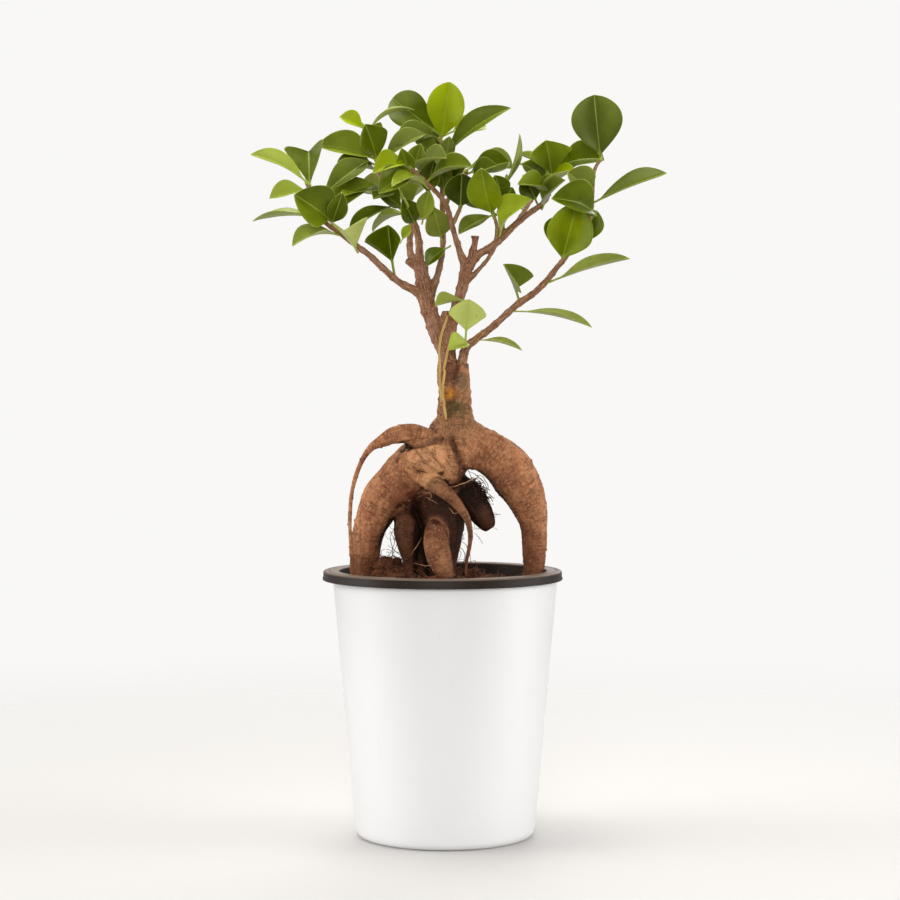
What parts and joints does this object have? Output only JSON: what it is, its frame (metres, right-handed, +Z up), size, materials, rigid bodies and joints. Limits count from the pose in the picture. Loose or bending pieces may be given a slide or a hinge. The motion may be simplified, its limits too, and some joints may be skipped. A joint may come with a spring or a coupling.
{
  "type": "potted bonsai tree",
  "caption": "Grafted ficus bonsai with swollen aerial roots, thin branches and glossy leaves, growing in a dark nursery pot set inside a plain white tapered cover pot.",
  "frame": {"origin": "centre of the cover pot's flat base", "axes": "+Z up along the pot's axis, -Y towards the viewer's side that shows the fullest spread of roots, +X to that viewer's right"},
  "size_m": [0.2046, 0.1217, 0.3772],
  "materials": {
    "white_plastic": "satin",
    "dark_plastic": "satin",
    "potting_soil": "matte",
    "root_bark": "matte",
    "twig_bark": "matte",
    "leaf": "satin",
    "raffia": "satin"
  },
  "bodies": {
    "root": {"cover_pot": "white_plastic", "leaf_back_1": "leaf", "leaf_back_2": "leaf", "leaf_back_3": "leaf", "leaf_back_4": "leaf", "leaf_left_end_1": "leaf", "leaf_left_end_2": "leaf", "leaf_left_fork_1": "leaf", "leaf_left_fork_10": "leaf", "leaf_left_fork_2": "leaf", "leaf_left_fork_3": "leaf", "leaf_left_fork_4": "leaf", "leaf_left_fork_5": "leaf", "leaf_left_fork_6": "leaf", "leaf_left_fork_7": "leaf", "leaf_left_fork_8": "leaf", "leaf_left_fork_9": "leaf", "leaf_left_shoot_1": "leaf", "leaf_left_shoot_2": "leaf", "leaf_left_shoot_3": "leaf", "leaf_left_shoot_4": "leaf", "leaf_left_shoot_5": "leaf", "leaf_middle_back_1": "leaf", "leaf_middle_back_2": "leaf", "leaf_middle_left_1": "leaf", "leaf_middle_left_2": "leaf", "leaf_middle_left_3": "leaf", "leaf_middle_left_4": "leaf", "leaf_right_limb_1": "leaf", "leaf_right_limb_2": "leaf", "leaf_right_limb_3": "leaf", "leaf_right_limb_4": "leaf", "leaf_right_limb_5": "leaf", "leaf_right_limb_6": "leaf", "leaf_right_limb_7": "leaf", "leaf_right_limb_8": "leaf", "leaf_right_shoot_1": "leaf", "leaf_right_shoot_10": "leaf", "leaf_right_shoot_11": "leaf", "leaf_right_shoot_12": "leaf", "leaf_right_shoot_2": "leaf", "leaf_right_shoot_3": "leaf", "leaf_right_shoot_4": "leaf", "leaf_right_shoot_5": "leaf", "leaf_right_shoot_6": "leaf", "leaf_right_shoot_7": "leaf", "leaf_right_shoot_8": "leaf", "leaf_right_shoot_9": "leaf", "leaf_top_1": "leaf", "leaf_top_2": "leaf", "leaf_top_3": "leaf", "leaf_top_4": "leaf", "leaf_top_5": "leaf", "main_graft": "twig_bark", "nursery_pot": "dark_plastic", "raffia_tie_1": "raffia", "raffia_tie_2": "raffia", "right_graft": "twig_bark", "rootstock": "root_bark", "soil": "potting_soil"}
  },
  "joints": []
}
